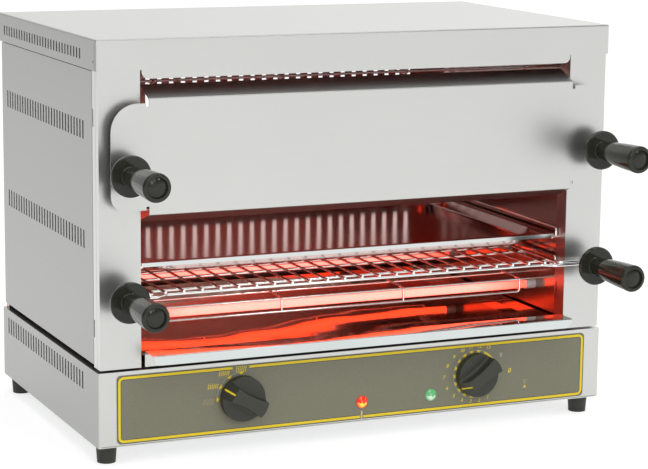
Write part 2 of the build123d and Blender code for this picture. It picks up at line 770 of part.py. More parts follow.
# Wire racks. Cross rails lie under the front-to-back wires; a bow wire in front and a
# frame wire round the back both bend out past the posts and forward into the handles.
for rack_name, rack_rise, standoff in (
    ("lower", lower_rack_rise, lower_handle_standoff),
    ("upper", upper_rack_rise, upper_handle_standoff),
):
    rail_z = base_top + rack_rise
    wire_z = rail_z + frame_wire + rack_wire
    frame_z = rail_z + 2 * frame_wire
    arm_y = front_y + arm_plane
    handle_face = front_y - standoff
    arm_end = handle_face - handle_bore_depth
    rack_front_y = front_y + rack_front
    rack_back_y = front_y + rack_back

    with BuildPart() as rack_grid:
        with BuildSketch(Plane.XZ.offset(-rack_front_y + rack_wire_overhang - frame_wire)):
            with Locations((0, wire_z)):
                with GridLocations(rack_wire_pitch, 0, rack_wire_count, 1):
                    Circle(rack_wire)
        extrude(amount=-(rack_back - rack_front + rack_wire_overhang - 2 * frame_wire))
        with BuildSketch(Plane.YZ.offset(-rack_rail_side)):
            with Locations((front_y + second_rail, rail_z)):
                Circle(frame_wire)
            for count in range(rail_count):
                with Locations((front_y + rail_start + count * rail_pitch, rail_z)):
                    Circle(frame_wire)
        extrude(amount=2 * rack_rail_side)
    rack_grid.part.label = rack_name + "_rack_grid"
    export_step(rack_grid.part, "parts/" + rack_name + "_rack_grid.step")

    with BuildPart() as rack_bow:
        with BuildLine() as bow_path:
            FilletPolyline(
                (-handle_x, arm_end, rail_z),
                (-handle_x, arm_y, rail_z),
                (-rack_side + arm_step_in / 2, arm_y, rail_z),
                (-rack_side + 2 * arm_step_in, rack_front_y, rail_z),
                (rack_side - 2 * arm_step_in, rack_front_y, rail_z),
                (rack_side - arm_step_in / 2, arm_y, rail_z),
                (handle_x, arm_y, rail_z),
                (handle_x, arm_end, rail_z),
                radius=arm_bend,
            )
        with BuildSketch(Plane((-handle_x, arm_end, rail_z), z_dir=(0, 1, 0))):
            Circle(frame_wire)
        sweep(path=bow_path.line)
    rack_bow.part.label = rack_name + "_rack_bow"
    export_step(rack_bow.part, "parts/" + rack_name + "_rack_bow.step")

    with BuildPart() as rack_frame:
        with BuildLine() as frame_path:
            FilletPolyline(
                (-handle_x, arm_end, frame_z),
                (-handle_x, arm_y, frame_z),
                (-rack_side, arm_y, frame_z),
                (-rack_side, rack_back_y, frame_z),
                (rack_side, rack_back_y, frame_z),
                (rack_side, arm_y, frame_z),
                (handle_x, arm_y, frame_z),
                (handle_x, arm_end, frame_z),
                radius=[arm_bend, arm_bend, frame_corner, frame_corner, arm_bend, arm_bend],
            )
        with BuildSketch(Plane((-handle_x, arm_end, frame_z), z_dir=(0, 1, 0))):
            Circle(frame_wire)
        sweep(path=frame_path.line)
    rack_frame.part.label = rack_name + "_rack_frame"
    export_step(rack_frame.part, "parts/" + rack_name + "_rack_frame.step")

    # Handles: turned grip with a guard disc, bored for both wires.
    grip_z = rail_z + frame_wire
    for side_name, side in sides:
        with BuildPart() as handle:
            with BuildSketch(Plane.XY.offset(grip_z)):
                with BuildLine():
                    x_at = side * handle_x
                    neck_face = handle_face - disc_thickness
                    grip_start = neck_face - neck_length
                    grip_end = handle_face - handle_length
                    Polyline(
                        (x_at, handle_face),
                        (x_at + disc_radius - disc_edge, handle_face),
                        (x_at + disc_radius, handle_face - disc_edge),
                        (x_at + disc_radius, neck_face + disc_edge),
                        (x_at + disc_radius - disc_edge, neck_face),
                        (x_at + neck_radius, neck_face),
                        (x_at + neck_radius, grip_start),
                        (x_at + shoulder_radius, grip_start - disc_edge),
                    )
                    ThreePointArc(
                        (x_at + shoulder_radius, grip_start - disc_edge),
                        (x_at + grip_mid_radius, (grip_start + grip_end) / 2),
                        (x_at + grip_end_radius, grip_end + grip_edge),
                    )
                    RadiusArc(
                        (x_at + grip_end_radius, grip_end + grip_edge),
                        (x_at + grip_end_radius - grip_edge, grip_end),
                        grip_edge,
                    )
                    Polyline(
                        (x_at + grip_end_radius - grip_edge, grip_end),
                        (x_at + grip_recess_radius, grip_end),
                        (x_at + grip_recess_radius, grip_end + grip_recess_depth),
                        (x_at, grip_end + grip_recess_depth),
                        (x_at, handle_face),
                    )
                make_face()
            revolve(axis=Axis((x_at, front_y, grip_z), (0, 1, 0)))
            with BuildSketch(Plane.XZ.offset(-handle_face)):
                with Locations((x_at, rail_z), (x_at, frame_z)):
                    Circle(frame_wire + handle_bore_fit)
            extrude(amount=handle_bore_depth + handle_bore_fit, mode=Mode.SUBTRACT)
        handle_name = rack_name + "_" + side_name + "_handle"
        handle.part.label = handle_name
        export_step(handle.part, "parts/" + handle_name + ".step")

# Runners: a rod that carries the load, with a guide rod above it hooked down in front.
for carried, load_z in (
    ("lower_rack", base_top + lower_rack_rise - frame_wire),
    ("tray", base_top + tray_rim_rise - tray_sheet),
    ("upper_rack", base_top + upper_rack_rise - frame_wire),
):
    rod_z = load_z - carrier_gap - carrier_radius
    for side_name, side in sides:
        with BuildPart() as runner:
            with BuildSketch(Plane.XZ.offset(-front_y - runner_front)):
                with Locations((side * carrier_x, rod_z)):
                    Circle(carrier_radius)
            extrude(amount=-(runner_end - runner_front))
            with BuildLine() as hook:
                FilletPolyline(
                    (side * guide_x, front_y + runner_front, rod_z),
                    (side * guide_x, front_y + runner_front, rod_z + guide_lift),
                    (side * guide_x, front_y + runner_end, rod_z + guide_lift),
                    radius=guide_bend,
                )
            with BuildSketch(Plane((side * guide_x, front_y + runner_front, rod_z), z_dir=(0, 0, 1))):
                Circle(guide_radius)
            sweep(path=hook.line)
            with BuildSketch(Plane.YZ.offset(side * cavity_half)):
                with Locations((front_y + runner_front, rod_z), (front_y + runner_back, rod_z)):
                    Circle(stub_radius)
            extrude(amount=side * (carrier_x - cavity_half))
            with BuildSketch(Plane.YZ.offset(side * cavity_half)):
                with Locations((front_y + runner_back, rod_z + guide_lift)):
                    Circle(guide_radius)
            extrude(amount=side * (guide_x - cavity_half))
        runner_name = side_name + "_" + carried + "_runner"
        runner.part.label = runner_name
        export_step(runner.part, "parts/" + runner_name + ".step")

# Front panel of the upper rack: flared flanges between the posts, wings in front of them.
panel_face = front_y - panel_standoff
panel_low_z = base_top + panel_low
panel_high_z = base_top + panel_high
with BuildPart() as front_panel:
    with BuildSketch(Plane.YZ.offset(-panel_middle_half)):
        with BuildLine():
            Polyline(
                (panel_face + panel_flange_depth, panel_low_z - panel_flange_flare),
                (panel_face, panel_low_z),
                (panel_face, panel_high_z),
                (panel_face + panel_flange_depth, panel_high_z + panel_flange_flare),
            )
            offset(amount=panel_sheet, side=Side.LEFT)
        make_face()
    extrude(amount=2 * panel_middle_half)
    with BuildSketch(Plane.XZ.offset(-panel_face)):
        with BuildLine():
            wing_low = panel_low_z + panel_wing_step_low
            wing_high = panel_high_z - panel_wing_step_high
            notch_x = panel_middle_half + panel_notch
            Polyline(
                (-notch_x, wing_low + panel_notch_depth),
                (-panel_middle_half, wing_low + panel_notch_depth),
                (-panel_middle_half, wing_high - panel_notch_depth),
                (-notch_x, wing_high - panel_notch_depth),
                (-notch_x, wing_high),
                (-panel_half + panel_top_corner, wing_high),
            )
            RadiusArc(
                (-panel_half + panel_top_corner, wing_high),
                (-panel_half, wing_high - panel_top_corner),
                -panel_top_corner,
            )
            Line((-panel_half, wing_high - panel_top_corner), (-panel_half, wing_low + panel_low_corner))
            RadiusArc(
                (-panel_half, wing_low + panel_low_corner),
                (-panel_half + panel_low_corner, wing_low),
                -panel_low_corner,
            )
            Polyline(
                (-panel_half + panel_low_corner, wing_low),
                (-notch_x, wing_low),
                (-notch_x, wing_low + panel_notch_depth),
            )
        make_face()
        with Locations((-handle_x, base_top + upper_rack_rise + frame_wire)):
            SlotOverall(
                4 * frame_wire + 2 * panel_slot_clear,
                2 * frame_wire + 2 * panel_slot_clear,
                rotation=90,
                mode=Mode.SUBTRACT,
            )
        mirror(about=Plane.YZ)
    extrude(amount=panel_sheet)
front_panel.part.label = "front_panel"
export_step(front_panel.part, "parts/front_panel.step")

# Baking tray: a shallow pan with round corners, hung by a flat rim folded down in front.
rim_z = base_top + tray_rim_rise
tray_length = tray_back - tray_front
with BuildPart() as baking_tray:
    with BuildSketch(Plane.XY.offset(rim_z)):
        with Locations((0, front_y + (tray_front + tray_back) / 2)):
            RectangleRounded(2 * (tray_rim_half - tray_rim), tray_length - 2 * tray_rim, tray_corner)
    extrude(amount=-tray_depth, taper=tray_taper)
    with BuildSketch(Plane.XY.offset(rim_z)):
        with Locations((0, front_y + (tray_front + tray_back) / 2)):
            RectangleRounded(2 * tray_rim_half, tray_length, tray_rim_corner)
    extrude(amount=-tray_sheet)
    with BuildSketch(Plane.XY.offset(rim_z)):
        with Locations((0, front_y + (tray_front + tray_back) / 2)):
            RectangleRounded(
                2 * (tray_rim_half - tray_rim - tray_sheet),
                tray_length - 2 * (tray_rim + tray_sheet),
                tray_corner - tray_sheet,
            )
    extrude(amount=-(tray_depth - tray_sheet), taper=tray_taper, mode=Mode.SUBTRACT)
    with BuildSketch(Plane.XY.offset(rim_z)):
        with Locations((0, front_y + tray_front + tray_sheet / 2)):
            Rectangle(2 * (tray_rim_half - tray_rim_corner), tray_sheet)
    extrude(amount=-tray_hem)
    fillet(baking_tray.faces().sort_by(Axis.Z)[0].edges(), radius=tray_floor_edge)
    pan_floor = baking_tray.faces().filter_by(Axis.Z).sort_by(Axis.Z)[1]
    fillet(pan_floor.edges(), radius=tray_floor_edge - tray_sheet)
baking_tray.part.label = "baking_tray"
export_step(baking_tray.part, "parts/baking_tray.step")

# Drip tray: floor, front wall, forward shelf and flap from one bent strip, with side and back walls.
drip_floor = base_top + ledge_height + drip_gap
drip_mouth = drip_floor + drip_front_height
with BuildPart() as drip_tray:
    with BuildSketch(Plane.YZ.offset(-drip_half)):
        with BuildLine():
            Polyline(
                (front_y + drip_back, drip_floor + drip_wall),
                (front_y + drip_back, drip_floor),
                (front_y, drip_floor),
                (front_y, drip_mouth),
                (front_y - drip_shelf, drip_mouth),
                (front_y - drip_shelf, drip_mouth - drip_flap),
            )
            offset(amount=drip_sheet, side=Side.RIGHT)
        make_face()
    extrude(amount=2 * drip_half)
    flap_edges = drip_tray.edges().filter_by(Axis.Y).filter_by(
        lambda edge: edge.center().Y < front_y - drip_shelf
    )
    fillet(flap_edges.group_by(Axis.Z)[0], radius=drip_flap_corner)
    with BuildSketch(Plane.XY.offset(drip_floor)):
        with Locations((0, front_y + drip_back / 2)):
            with GridLocations(2 * drip_half - drip_sheet, 0, 2, 1):
                Rectangle(drip_sheet, drip_back)
    extrude(amount=drip_wall)
drip_tray.part.label = "drip_tray"
export_step(drip_tray.part, "parts/drip_tray.step")
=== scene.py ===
from math import cos, pi, radians, sin

import bmesh
import bpy
from mathutils import Matrix, Vector


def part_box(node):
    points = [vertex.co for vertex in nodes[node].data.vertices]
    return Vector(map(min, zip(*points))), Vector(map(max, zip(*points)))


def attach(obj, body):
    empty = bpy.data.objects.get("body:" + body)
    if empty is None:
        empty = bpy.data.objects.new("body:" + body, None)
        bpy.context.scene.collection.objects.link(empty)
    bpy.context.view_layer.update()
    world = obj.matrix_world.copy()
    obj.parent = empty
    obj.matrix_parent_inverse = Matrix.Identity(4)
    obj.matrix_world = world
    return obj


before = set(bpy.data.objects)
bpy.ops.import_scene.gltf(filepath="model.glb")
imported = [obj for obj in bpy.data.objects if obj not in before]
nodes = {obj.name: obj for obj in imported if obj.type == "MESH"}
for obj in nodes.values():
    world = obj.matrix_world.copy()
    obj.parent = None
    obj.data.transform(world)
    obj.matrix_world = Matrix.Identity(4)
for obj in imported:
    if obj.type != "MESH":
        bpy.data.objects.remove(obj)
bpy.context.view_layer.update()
print("frame loaded:", len(nodes), "nodes")


def newMaterial(name):
    material = bpy.data.materials.new(name)
    material.use_nodes = True
    tree = material.node_tree
    shader = tree.nodes["Principled BSDF"]
    return material, tree, shader


def feed(tree, field, value):
    # another node's socket is linked, a plain value is set on the field itself
    if isinstance(value, bpy.types.NodeSocket):
        tree.links.new(value, field)
    else:
        field.default_value = value


def mathNode(tree, operation, *values):
    node = tree.nodes.new("ShaderNodeMath")
    node.operation = operation
    for field, value in zip(node.inputs, values):
        feed(tree, field, value)
    return node.outputs["Value"]


def multiply(tree, first, *others):
    for other in others:
        first = mathNode(tree, "MULTIPLY", first, other)
    return first


def vectorNode(tree, operation, *values):
    node = tree.nodes.new("ShaderNodeVectorMath")
    node.operation = operation
    for field, value in zip(node.inputs, values):
        feed(tree, field, value)
    return node.outputs["Value" if operation == "LENGTH" else "Vector"]


def objectPoint(tree):
    # the shaded point in the piece's own metres
    return tree.nodes.new("ShaderNodeTexCoord").outputs["Object"]


def splitAxes(tree, vector):
    split = tree.nodes.new("ShaderNodeSeparateXYZ")
    tree.links.new(vector, split.inputs["Vector"])
    return split.outputs


def mapRange(tree, source, toRange=(0, 1), fromRange=(0, 1)):
    node = tree.nodes.new("ShaderNodeMapRange")
    node.inputs["From Min"].default_value, node.inputs["From Max"].default_value = fromRange
    node.inputs["To Min"].default_value, node.inputs["To Max"].default_value = toRange
    tree.links.new(source, node.inputs["Value"])
    return node.outputs["Result"]


def objectNoise(tree, scale, detail, stretch=(1, 1, 1)):
    # stretched along an axis for brushed grain
    mapping = tree.nodes.new("ShaderNodeMapping")
    mapping.inputs["Scale"].default_value = stretch
    tree.links.new(objectPoint(tree), mapping.inputs["Vector"])
    noise = tree.nodes.new("ShaderNodeTexNoise")
    noise.inputs["Scale"].default_value = scale
    noise.inputs["Detail"].default_value = detail
    tree.links.new(mapping.outputs["Vector"], noise.inputs["Vector"])
    return noise.outputs["Fac"]


def ramp(tree, source, low, high, lowAt=0.0, highAt=1.0):
    # the colour runs from low to high between two values of the source
    node = tree.nodes.new("ShaderNodeValToRGB")
    first, last = node.color_ramp.elements
    first.position, first.color = lowAt, (*low, 1)
    last.position, last.color = highAt, (*high, 1)
    tree.links.new(source, node.inputs["Fac"])
    return node.outputs["Color"]


def blend(tree, factor, below, above, kind="FLOAT"):
    mix = tree.nodes.new("ShaderNodeMix")
    mix.data_type = kind
    for field, value in (("Factor", factor), ("A", below), ("B", above)):
        feed(tree, mix.inputs[field], value)
    return mix.outputs["Result"]


def blendColour(tree, factor, below, above):
    # below is a socket, above a colour
    return blend(tree, factor, below, (*above, 1), "RGBA")


def addBump(tree, shader, height, strength, distance):
    bump = tree.nodes.new("ShaderNodeBump")
    bump.inputs["Strength"].default_value = strength
    bump.inputs["Distance"].default_value = distance
    tree.links.new(height, bump.inputs["Height"])
    tree.links.new(bump.outputs["Normal"], shader.inputs["Normal"])


def boxMask(tree, low, high):
    # 1 inside the box between two corners, 0 outside it
    middle = [(a + b) / 2 for a, b in zip(low, high)]
    half = [(b - a) / 2 for a, b in zip(low, high)]
    away = vectorNode(tree, "ABSOLUTE", vectorNode(tree, "SUBTRACT", objectPoint(tree), middle))
    share = splitAxes(tree, vectorNode(tree, "DIVIDE", away, half))
    widest = mathNode(tree, "MAXIMUM", mathNode(tree, "MAXIMUM", share["X"], share["Y"]), share["Z"])
    return mathNode(tree, "LESS_THAN", widest, 1.0)


def grey(value):
    return (value, value, value, 1)


# painted shade: the dark colour of seams, gaps and relief holes
seamShadeColour = (0.07, 0.07, 0.06)
# painted light: the red of the tubes' glow on steel inside the oven
paintedGlowColour = (0.50, 0.33, 0.30)
# in the casing look, edge and side darken the rolled edges and the side faces as painted shade
satinCasing = {
    "colour": (0.60, 0.604, 0.583), "mottle": 0.014, "mottleSpan": (0.3, 0.7), "cloudScale": 9.0,
    "grain": 520, "drawn": 0.012, "roughness": (0.32, 0.35), "bump": 0.05, "wave": 0.00004,
    "edge": 0.70, "edgeShadeSpread": 4.0, "side": 0.65, "paleSide": 1.12,
}
polishedSheet = {"tintScale": 6.0, "tintDark": 0.93, "tintSpan": (0.35, 0.65), "bump": 0.5}
# painted light: the cavity's pink colour and the red of its grazing reflections stand in for the tubes' glow
polishedCavity = {
    **polishedSheet, "colour": (0.50, 0.38, 0.35), "grazing": (0.80, 0.62, 0.58),
    "roughness": (0.10, 0.20), "wave": 14, "waveDepth": 0.0012,
}


def satinSteel(name, look, shadedSeams=(), paleSides=(), glowPainted=()):
    # brushed along X on the faces that look forward, back or up, and along Y on the sides;
    # the seam boxes are painted shade in gaps and holes, the pale-side boxes give side faces a lighter
    # colour, and the glow boxes are painted light from the tubes' red glow: boxes each
    material, tree, shader = newMaterial(name)
    shader.inputs["Metallic"].default_value = 1.0
    normal = splitAxes(tree, tree.nodes.new("ShaderNodeNewGeometry").outputs["True Normal"])
    sideways, forward, upward = [multiply(tree, normal[axis], normal[axis]) for axis in ("X", "Y", "Z")]
    acrossFront = objectNoise(tree, look["grain"], 4.0, (look["drawn"], 1, 1))
    acrossSide = objectNoise(tree, look["grain"], 4.0, (1, look["drawn"], 1))
    grain = blend(tree, sideways, acrossFront, acrossSide)
    mixed = blend(tree, 0.5, grain, objectNoise(tree, look["cloudScale"], 3.0))
    base, mottle = Vector(look["colour"]), look["mottle"]
    colour = ramp(tree, mixed, base * (1 - mottle), base * (1 + mottle), *look["mottleSpan"])
    # painted shade: the rolled edges between the top and the faces are darkened against the sheet, which
    # tames their highlight
    rolled = multiply(tree, forward, upward, look["edgeShadeSpread"])
    colour = blendColour(tree, rolled, colour, base * look["edge"])
    # painted shade: the side sheets are darker than the front's
    colour = blendColour(tree, sideways, colour, base * look["side"])
    for low, high in paleSides:
        pale = multiply(tree, boxMask(tree, low, high), sideways)
        colour = blendColour(tree, pale, colour, base * look["paleSide"])
    # painted light: these boxes take the tubes' red glow and its reflection
    for low, high in glowPainted:
        colour = blendColour(tree, boxMask(tree, low, high), colour, paintedGlowColour)
    # painted shade: seams, gaps and relief holes are darkened
    for low, high in shadedSeams:
        colour = blendColour(tree, boxMask(tree, low, high), colour, seamShadeColour)
    feed(tree, shader.inputs["Base Color"], colour)
    feed(tree, shader.inputs["Roughness"], mapRange(tree, grain, look["roughness"]))
    addBump(tree, shader, grain, look["bump"], look["wave"])
    return material


def polishedSteel(name, look):
    # rolled sheet, bright but slightly wavy, with faint heat tint
    material, tree, shader = newMaterial(name)
    shader.inputs["Metallic"].default_value = 1.0
    shader.inputs["Specular Tint"].default_value = (*look["grazing"], 1)
    tint = objectNoise(tree, look["tintScale"], 2.0)
    base = Vector(look["colour"])
    colour = ramp(tree, tint, base * look["tintDark"], base, *look["tintSpan"])
    if "glowTint" in look:
        # painted light: clean at the front edge, coloured behind it with the tubes' red glow
        inwards = mapRange(tree, splitAxes(tree, objectPoint(tree))["Y"], fromRange=look["glowTintFrom"])
        colour = blendColour(tree, inwards, colour, look["glowTint"])
    feed(tree, shader.inputs["Base Color"], colour)
    feed(tree, shader.inputs["Roughness"], mapRange(tree, tint, look["roughness"]))
    height = objectNoise(tree, look["wave"], 1.5)
    if "warp" in look:
        # the thin floor has sprung: its tilt swings from side to side along X
        place = splitAxes(tree, objectPoint(tree))
        swing = mathNode(tree, "SINE", multiply(tree, place["X"], 2 * pi / look["warpLength"]))
        tilt = multiply(tree, swing, place["Y"])
        height = mathNode(tree, "MULTIPLY_ADD", tilt, look["warp"] / look["waveDepth"], height)
    addBump(tree, shader, height, look["bump"], look["waveDepth"])
    return material


def chrome(name, look):
    material, tree, shader = newMaterial(name)
    shader.inputs["Metallic"].default_value = 1.0
    shader.inputs["Base Color"].default_value = (*look["colour"], 1)
    film = objectNoise(tree, 90.0, 2.0)
    feed(tree, shader.inputs["Roughness"], mapRange(tree, film, look["roughness"]))
    return material


phenolicLook = {
    "dark": (0.020, 0.021, 0.0145), "light": (0.032, 0.034, 0.024), "roughness": 0.11, "specular": 0.32,
    "grain": 900, "grainRise": 0.06, "depth": 0.0002, "buttonRadius": 0.0115, "buttonSlope": 0.42,
}


def blackPhenolic(name, look, gripX, gripZ):
    # turned and polished, with a crowned button in the grip's end
    material, tree, shader = newMaterial(name)
    fleck = objectNoise(tree, look["grain"], 4.0)
    feed(tree, shader.inputs["Base Color"], ramp(tree, fleck, look["dark"], look["light"], 0.35, 0.7))
    shader.inputs["Roughness"].default_value = look["roughness"]
    shader.inputs["Specular IOR Level"].default_value = look["specular"]
    # the left and the right grip share it, mirrored about the middle
    mirrored = vectorNode(tree, "ABSOLUTE", objectPoint(tree))
    fromAxis = vectorNode(tree, "SUBTRACT", mirrored, (gripX, 0, gripZ))
    away = vectorNode(tree, "LENGTH", vectorNode(tree, "MULTIPLY", fromAxis, (1, 0, 1)))
    kept = mathNode(tree, "MINIMUM", away, look["buttonRadius"])
    crown = multiply(tree, kept, kept, -look["buttonSlope"] / (2 * look["buttonRadius"]) / look["depth"])
    height = mathNode(tree, "MULTIPLY_ADD", fleck, look["grainRise"], crown)
    addBump(tree, shader, height, 1.0, look["depth"])
    return material


def matteMoulding(name, dark, light, roughness, grain, depth):
    # rubber, nylon, ceramic and printed film: speckled, with a fine skin
    material, tree, shader = newMaterial(name)
    fleck = objectNoise(tree, grain, 5.0)
    feed(tree, shader.inputs["Base Color"], ramp(tree, fleck, dark, light, 0.3, 0.7))
    shader.inputs["Roughness"].default_value = roughness
    addBump(tree, shader, fleck, 0.15, depth)
    return material


def printInk(name, colour):
    material, tree, shader = newMaterial(name)
    base = Vector(colour)
    fleck = objectNoise(tree, 1500, 2.0)
    feed(tree, shader.inputs["Base Color"], ramp(tree, fleck, base * 0.94, base, 0.3, 0.7))
    shader.inputs["Roughness"].default_value = 0.4
    return material


glowLook = {
    "end": (1.0, 0.03, 0.008), "middle": (1.0, 0.137, 0.105), "thrown": (0.72, 0.040, 0.010),
    "fade": (0.185, 0.257), "unevenness": 0.15, "glass": (0.75, 0.45, 0.40), "roughness": 0.12,
}


def glowingQuartz(name, look, strength):
    # brighter and paler in the middle of the tube's length, redder at the cold ends
    material, tree, shader = newMaterial(name)
    fromMiddle = mathNode(tree, "ABSOLUTE", splitAxes(tree, objectPoint(tree))["X"])
    tone = ramp(tree, mapRange(tree, fromMiddle, fromRange=look["fade"]), look["middle"], look["end"])
    # the eye sees a pale overexposed tube, while the light that it throws is a deep orange
    seen = tree.nodes.new("ShaderNodeLightPath").outputs["Is Camera Ray"]
    colour = blendColour(tree, mathNode(tree, "SUBTRACT", 1.0, seen), tone, look["thrown"])
    feed(tree, shader.inputs["Emission Color"], colour)
    low, high = strength * (1 - look["unevenness"]), strength * (1 + look["unevenness"])
    glow = mapRange(tree, objectNoise(tree, 260, 2.0), (low, high))
    feed(tree, shader.inputs["Emission Strength"], glow)
    shader.inputs["Base Color"].default_value = (*look["glass"], 1)
    shader.inputs["Roughness"].default_value = look["roughness"]
    return material


lensLook = {"radius": 0.0095, "behind": 0.003, "facets": 1.9, "roughness": 0.08, "bump": 0.4, "depth": 0.0008}


def lensPlastic(name, lamp, colour, spark, strength):
    # moulded facets catch the lamp behind the middle of the lens
    material, tree, shader = newMaterial(name)
    look = lensLook
    mapping = tree.nodes.new("ShaderNodeMapping")
    mapping.vector_type = "TEXTURE"
    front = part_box(lamp)[0][1]
    mapping.inputs["Location"].default_value = (middleOf(lamp).x, front + look["behind"], middleOf(lamp).z)
    mapping.inputs["Scale"].default_value = [look["radius"]] * 3
    tree.links.new(objectPoint(tree), mapping.inputs["Vector"])
    fade = tree.nodes.new("ShaderNodeTexGradient")
    fade.gradient_type = "SPHERICAL"
    tree.links.new(mapping.outputs["Vector"], fade.inputs["Vector"])
    facets = tree.nodes.new("ShaderNodeTexVoronoi")
    facets.inputs["Scale"].default_value = look["facets"]
    tree.links.new(mapping.outputs["Vector"], facets.inputs["Vector"])
    split = tree.nodes.new("ShaderNodeSeparateColor")
    tree.links.new(facets.outputs["Color"], split.inputs["Color"])
    lit = multiply(tree, split.outputs["Red"], fade.outputs["Fac"])
    tone = ramp(tree, lit, colour, spark, 0.20, 0.42)
    feed(tree, shader.inputs["Base Color"], tone)
    feed(tree, shader.inputs["Emission Color"], tone)
    shader.inputs["Emission Strength"].default_value = strength
    shader.inputs["Roughness"].default_value = look["roughness"]
    addBump(tree, shader, facets.outputs["Distance"], look["bump"], look["depth"])
    return material


def middleOf(node):
    low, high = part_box(node)
    return Vector([(a + b) / 2 for a, b in zip(low, high)])


def bothSides(near, far, low, high):
    # a box at the right and its twin at the left; low and high hold its y and z
    return [((-far, *low), (-near, *high)), ((near, *low), (far, *high))]


baseLow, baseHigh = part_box("base_housing")
capLow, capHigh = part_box("top_cover")
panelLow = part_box("right_side_panel")[0]
wallLow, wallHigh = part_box("right_inner_wall")
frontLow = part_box("front_panel")[0]
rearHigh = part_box("rear_panel")[1]
frontFace, rearFace = baseLow[1], baseHigh[1]

outside = 0.33  # clear of the casing's sides
overhead = 0.5  # and of its top
capSeam = {
    "sides": (0.3190, 0.3210), "line": (0.0040, 0.0052), "top": 0.003,
    "hole": (0.0075, 0.0105), "holeRise": (0.0180, 0.0207),
}
baseSeam = {"reach": 0.317, "deep": (-0.001, 0.0005), "rise": (0.0012, 0.0017)}
postSeam = {"line": (0.0110, 0.0105), "from": 0.3165, "paleFrom": 0.3160}
sideSeam = (-0.001, 0.0016)
# depths of the boxes painted with the tubes' red glow
glowBoxDepth = {"post": 0.0030, "pastWall": 0.020, "panel": 0.0035, "flange": 0.03, "rear": 0.0006}

# the cap's corners are lapped, with painted shade as a dark line down the side and a small relief hole
# painted dark
capLine = bothSides(
    *capSeam["sides"], (frontFace + capSeam["line"][0], capLow[2]),
    (frontFace + capSeam["line"][1], capHigh[2] - capSeam["top"]),
)
capHole = bothSides(
    *capSeam["sides"], (frontFace + capSeam["hole"][0], capLow[2] + capSeam["holeRise"][0]),
    (frontFace + capSeam["hole"][1], capLow[2] + capSeam["holeRise"][1]),
)
capSteel = satinSteel("satinCap", satinCasing, capLine + capHole)
# painted shade: a dark line along the base's front, in the gap where its sheet is turned under
baseLine = (
    (-baseSeam["reach"], frontFace + baseSeam["deep"][0], baseLow[2] + baseSeam["rise"][0]),
    (baseSeam["reach"], frontFace + baseSeam["deep"][1], baseLow[2] + baseSeam["rise"][1]),
)
baseSteel = satinSteel("satinBase", satinCasing, [baseLine])
# painted shade: a dark line down the front edge of each side panel, in its gap against the post
sideLine = ((-outside, panelLow[1] + sideSeam[0], 0), (outside, panelLow[1] + sideSeam[1], overhead))
sideSteel = satinSteel("satinSide", satinCasing, [sideLine])
# the posts fold round the corner, with painted shade as a dark line at the fold, and a pale side behind it
postLine = bothSides(
    postSeam["from"], outside,
    (panelLow[1] - postSeam["line"][0], 0), (panelLow[1] - postSeam["line"][1], overhead),
)
postSide = bothSides(postSeam["paleFrom"], outside, (-1, 0), (1, 1))
# the posts' inner returns, the front panel's lower flange and the rear panel's inside face the heat; painted
# light: they are coloured with the tubes' red glow and its reflection
wallReach = wallLow[0] + glowBoxDepth["pastWall"]
postGlowBox = ((-wallReach, frontFace + glowBoxDepth["post"], 0), (wallReach, 0, 1))
postSteel = satinSteel("satinPost", satinCasing, postLine, postSide, [postGlowBox])
flangeGlowBox = (
    (-wallHigh[0], frontLow[1] + glowBoxDepth["panel"], 0),
    (wallHigh[0], 0, frontLow[2] + glowBoxDepth["flange"]),
)
panelSteel = satinSteel("satinPanel", satinCasing, glowPainted=[flangeGlowBox])
rearGlowBox = ((-outside, -1, 0), (outside, rearHigh[1] - glowBoxDepth["rear"], 1))
rearSteel = satinSteel("glowPaintedRear", {**satinCasing, "roughness": (0.20, 0.26)}, glowPainted=[rearGlowBox])
coatedLook = {**satinCasing, "colour": (0.5, 0.51, 0.51), "roughness": (0.4, 0.5), "grain": 150}
plateSteel = satinSteel("coatedPlate", coatedLook)

cavitySteel = polishedSteel("polishedCavity", polishedCavity)
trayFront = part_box("baking_tray")[0][1]
# painted reflection: the tray's grazing reflections are tinted red for the tubes' glow
traySteel = polishedSteel("pressedTray", {
    **polishedSheet, "colour": (0.64, 0.66, 0.65), "grazing": (0.80, 0.62, 0.60),
    "roughness": (0.11, 0.17), "wave": 5, "waveDepth": 0.002,
    "glowTint": (0.64, 0.50, 0.47), "glowTintFrom": (trayFront + 0.006, trayFront + 0.010),
})
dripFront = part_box("drip_tray")[0][1]
dripSteel = polishedSteel("warpedDripTray", {
    **polishedSheet, "colour": (0.60, 0.64, 0.63), "grazing": (1.0, 0.96, 0.92),
    "roughness": (0.03, 0.055), "wave": 6, "waveDepth": 0.004, "warp": 0.05, "warpLength": 0.60,
    "glowTint": (0.60, 0.46, 0.40), "glowTintFrom": (dripFront + 0.027, dripFront + 0.031),
})
wireChrome = chrome("chromedWire", {"colour": (0.90, 0.90, 0.89), "roughness": (0.03, 0.09)})
shaftSteel = chrome("platedShaft", {"colour": (0.7, 0.7, 0.69), "roughness": (0.2, 0.3)})
screwSteel = chrome("screwHead", {"colour": (0.62, 0.62, 0.6), "roughness": (0.22, 0.34)})
gripPhenolic = {}
for rack in ("lower", "upper"):
    grip = middleOf(rack + "_right_handle")
    gripPhenolic[rack] = blackPhenolic(rack + "GripPhenolic", phenolicLook, grip.x, grip.z)
knobPlastic = matteMoulding("mattKnob", (0.030, 0.031, 0.022), (0.044, 0.046, 0.033), 0.5, 900, 0.0002)
overlayFilm = matteMoulding("taupeFilm", (0.208, 0.204, 0.140), (0.238, 0.233, 0.162), 0.42, 700, 0.0001)
ceramic = matteMoulding("whiteCeramic", (0.86, 0.86, 0.84), (0.93, 0.93, 0.91), 0.55, 600, 0.0002)
footRubber = matteMoulding("footRubber", (0.018, 0.019, 0.013), (0.033, 0.034, 0.024), 0.55, 500, 0.0003)
